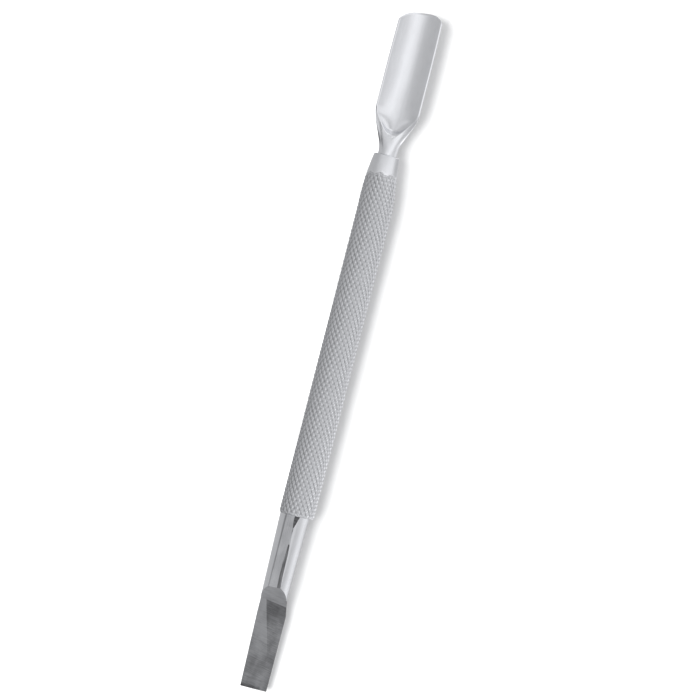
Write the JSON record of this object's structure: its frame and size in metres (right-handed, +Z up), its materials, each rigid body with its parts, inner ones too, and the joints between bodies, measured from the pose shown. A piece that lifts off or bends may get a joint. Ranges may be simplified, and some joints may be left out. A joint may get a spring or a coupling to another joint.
{
  "type": "cuticle pusher",
  "caption": "Double-ended steel hand tool: a hollow spoon pusher and a flat ground scraper on a round grip with a diamond knurl and a drawn-in nose.",
  "frame": {"origin": "on the resting surface, under the tool's axis, midway between the two tips", "axes": "+Y runs along the tool to the spoon's tip, +Z is up out of the spoon's hollow and the scraper's ground face, +X is across"},
  "size_m": [0.0083, 0.13, 0.0067],
  "materials": {
    "knurled_steel": "diamond knurl, satin, with a polished nose",
    "polished_steel": "mirror polished",
    "ground_steel": "polished shank, blade ground across with fine marks"
  },
  "bodies": {
    "root": {"handle_grip": "knurled_steel", "spoon_pusher": "polished_steel", "scraper_blade": "ground_steel"}
  },
  "joints": []
}
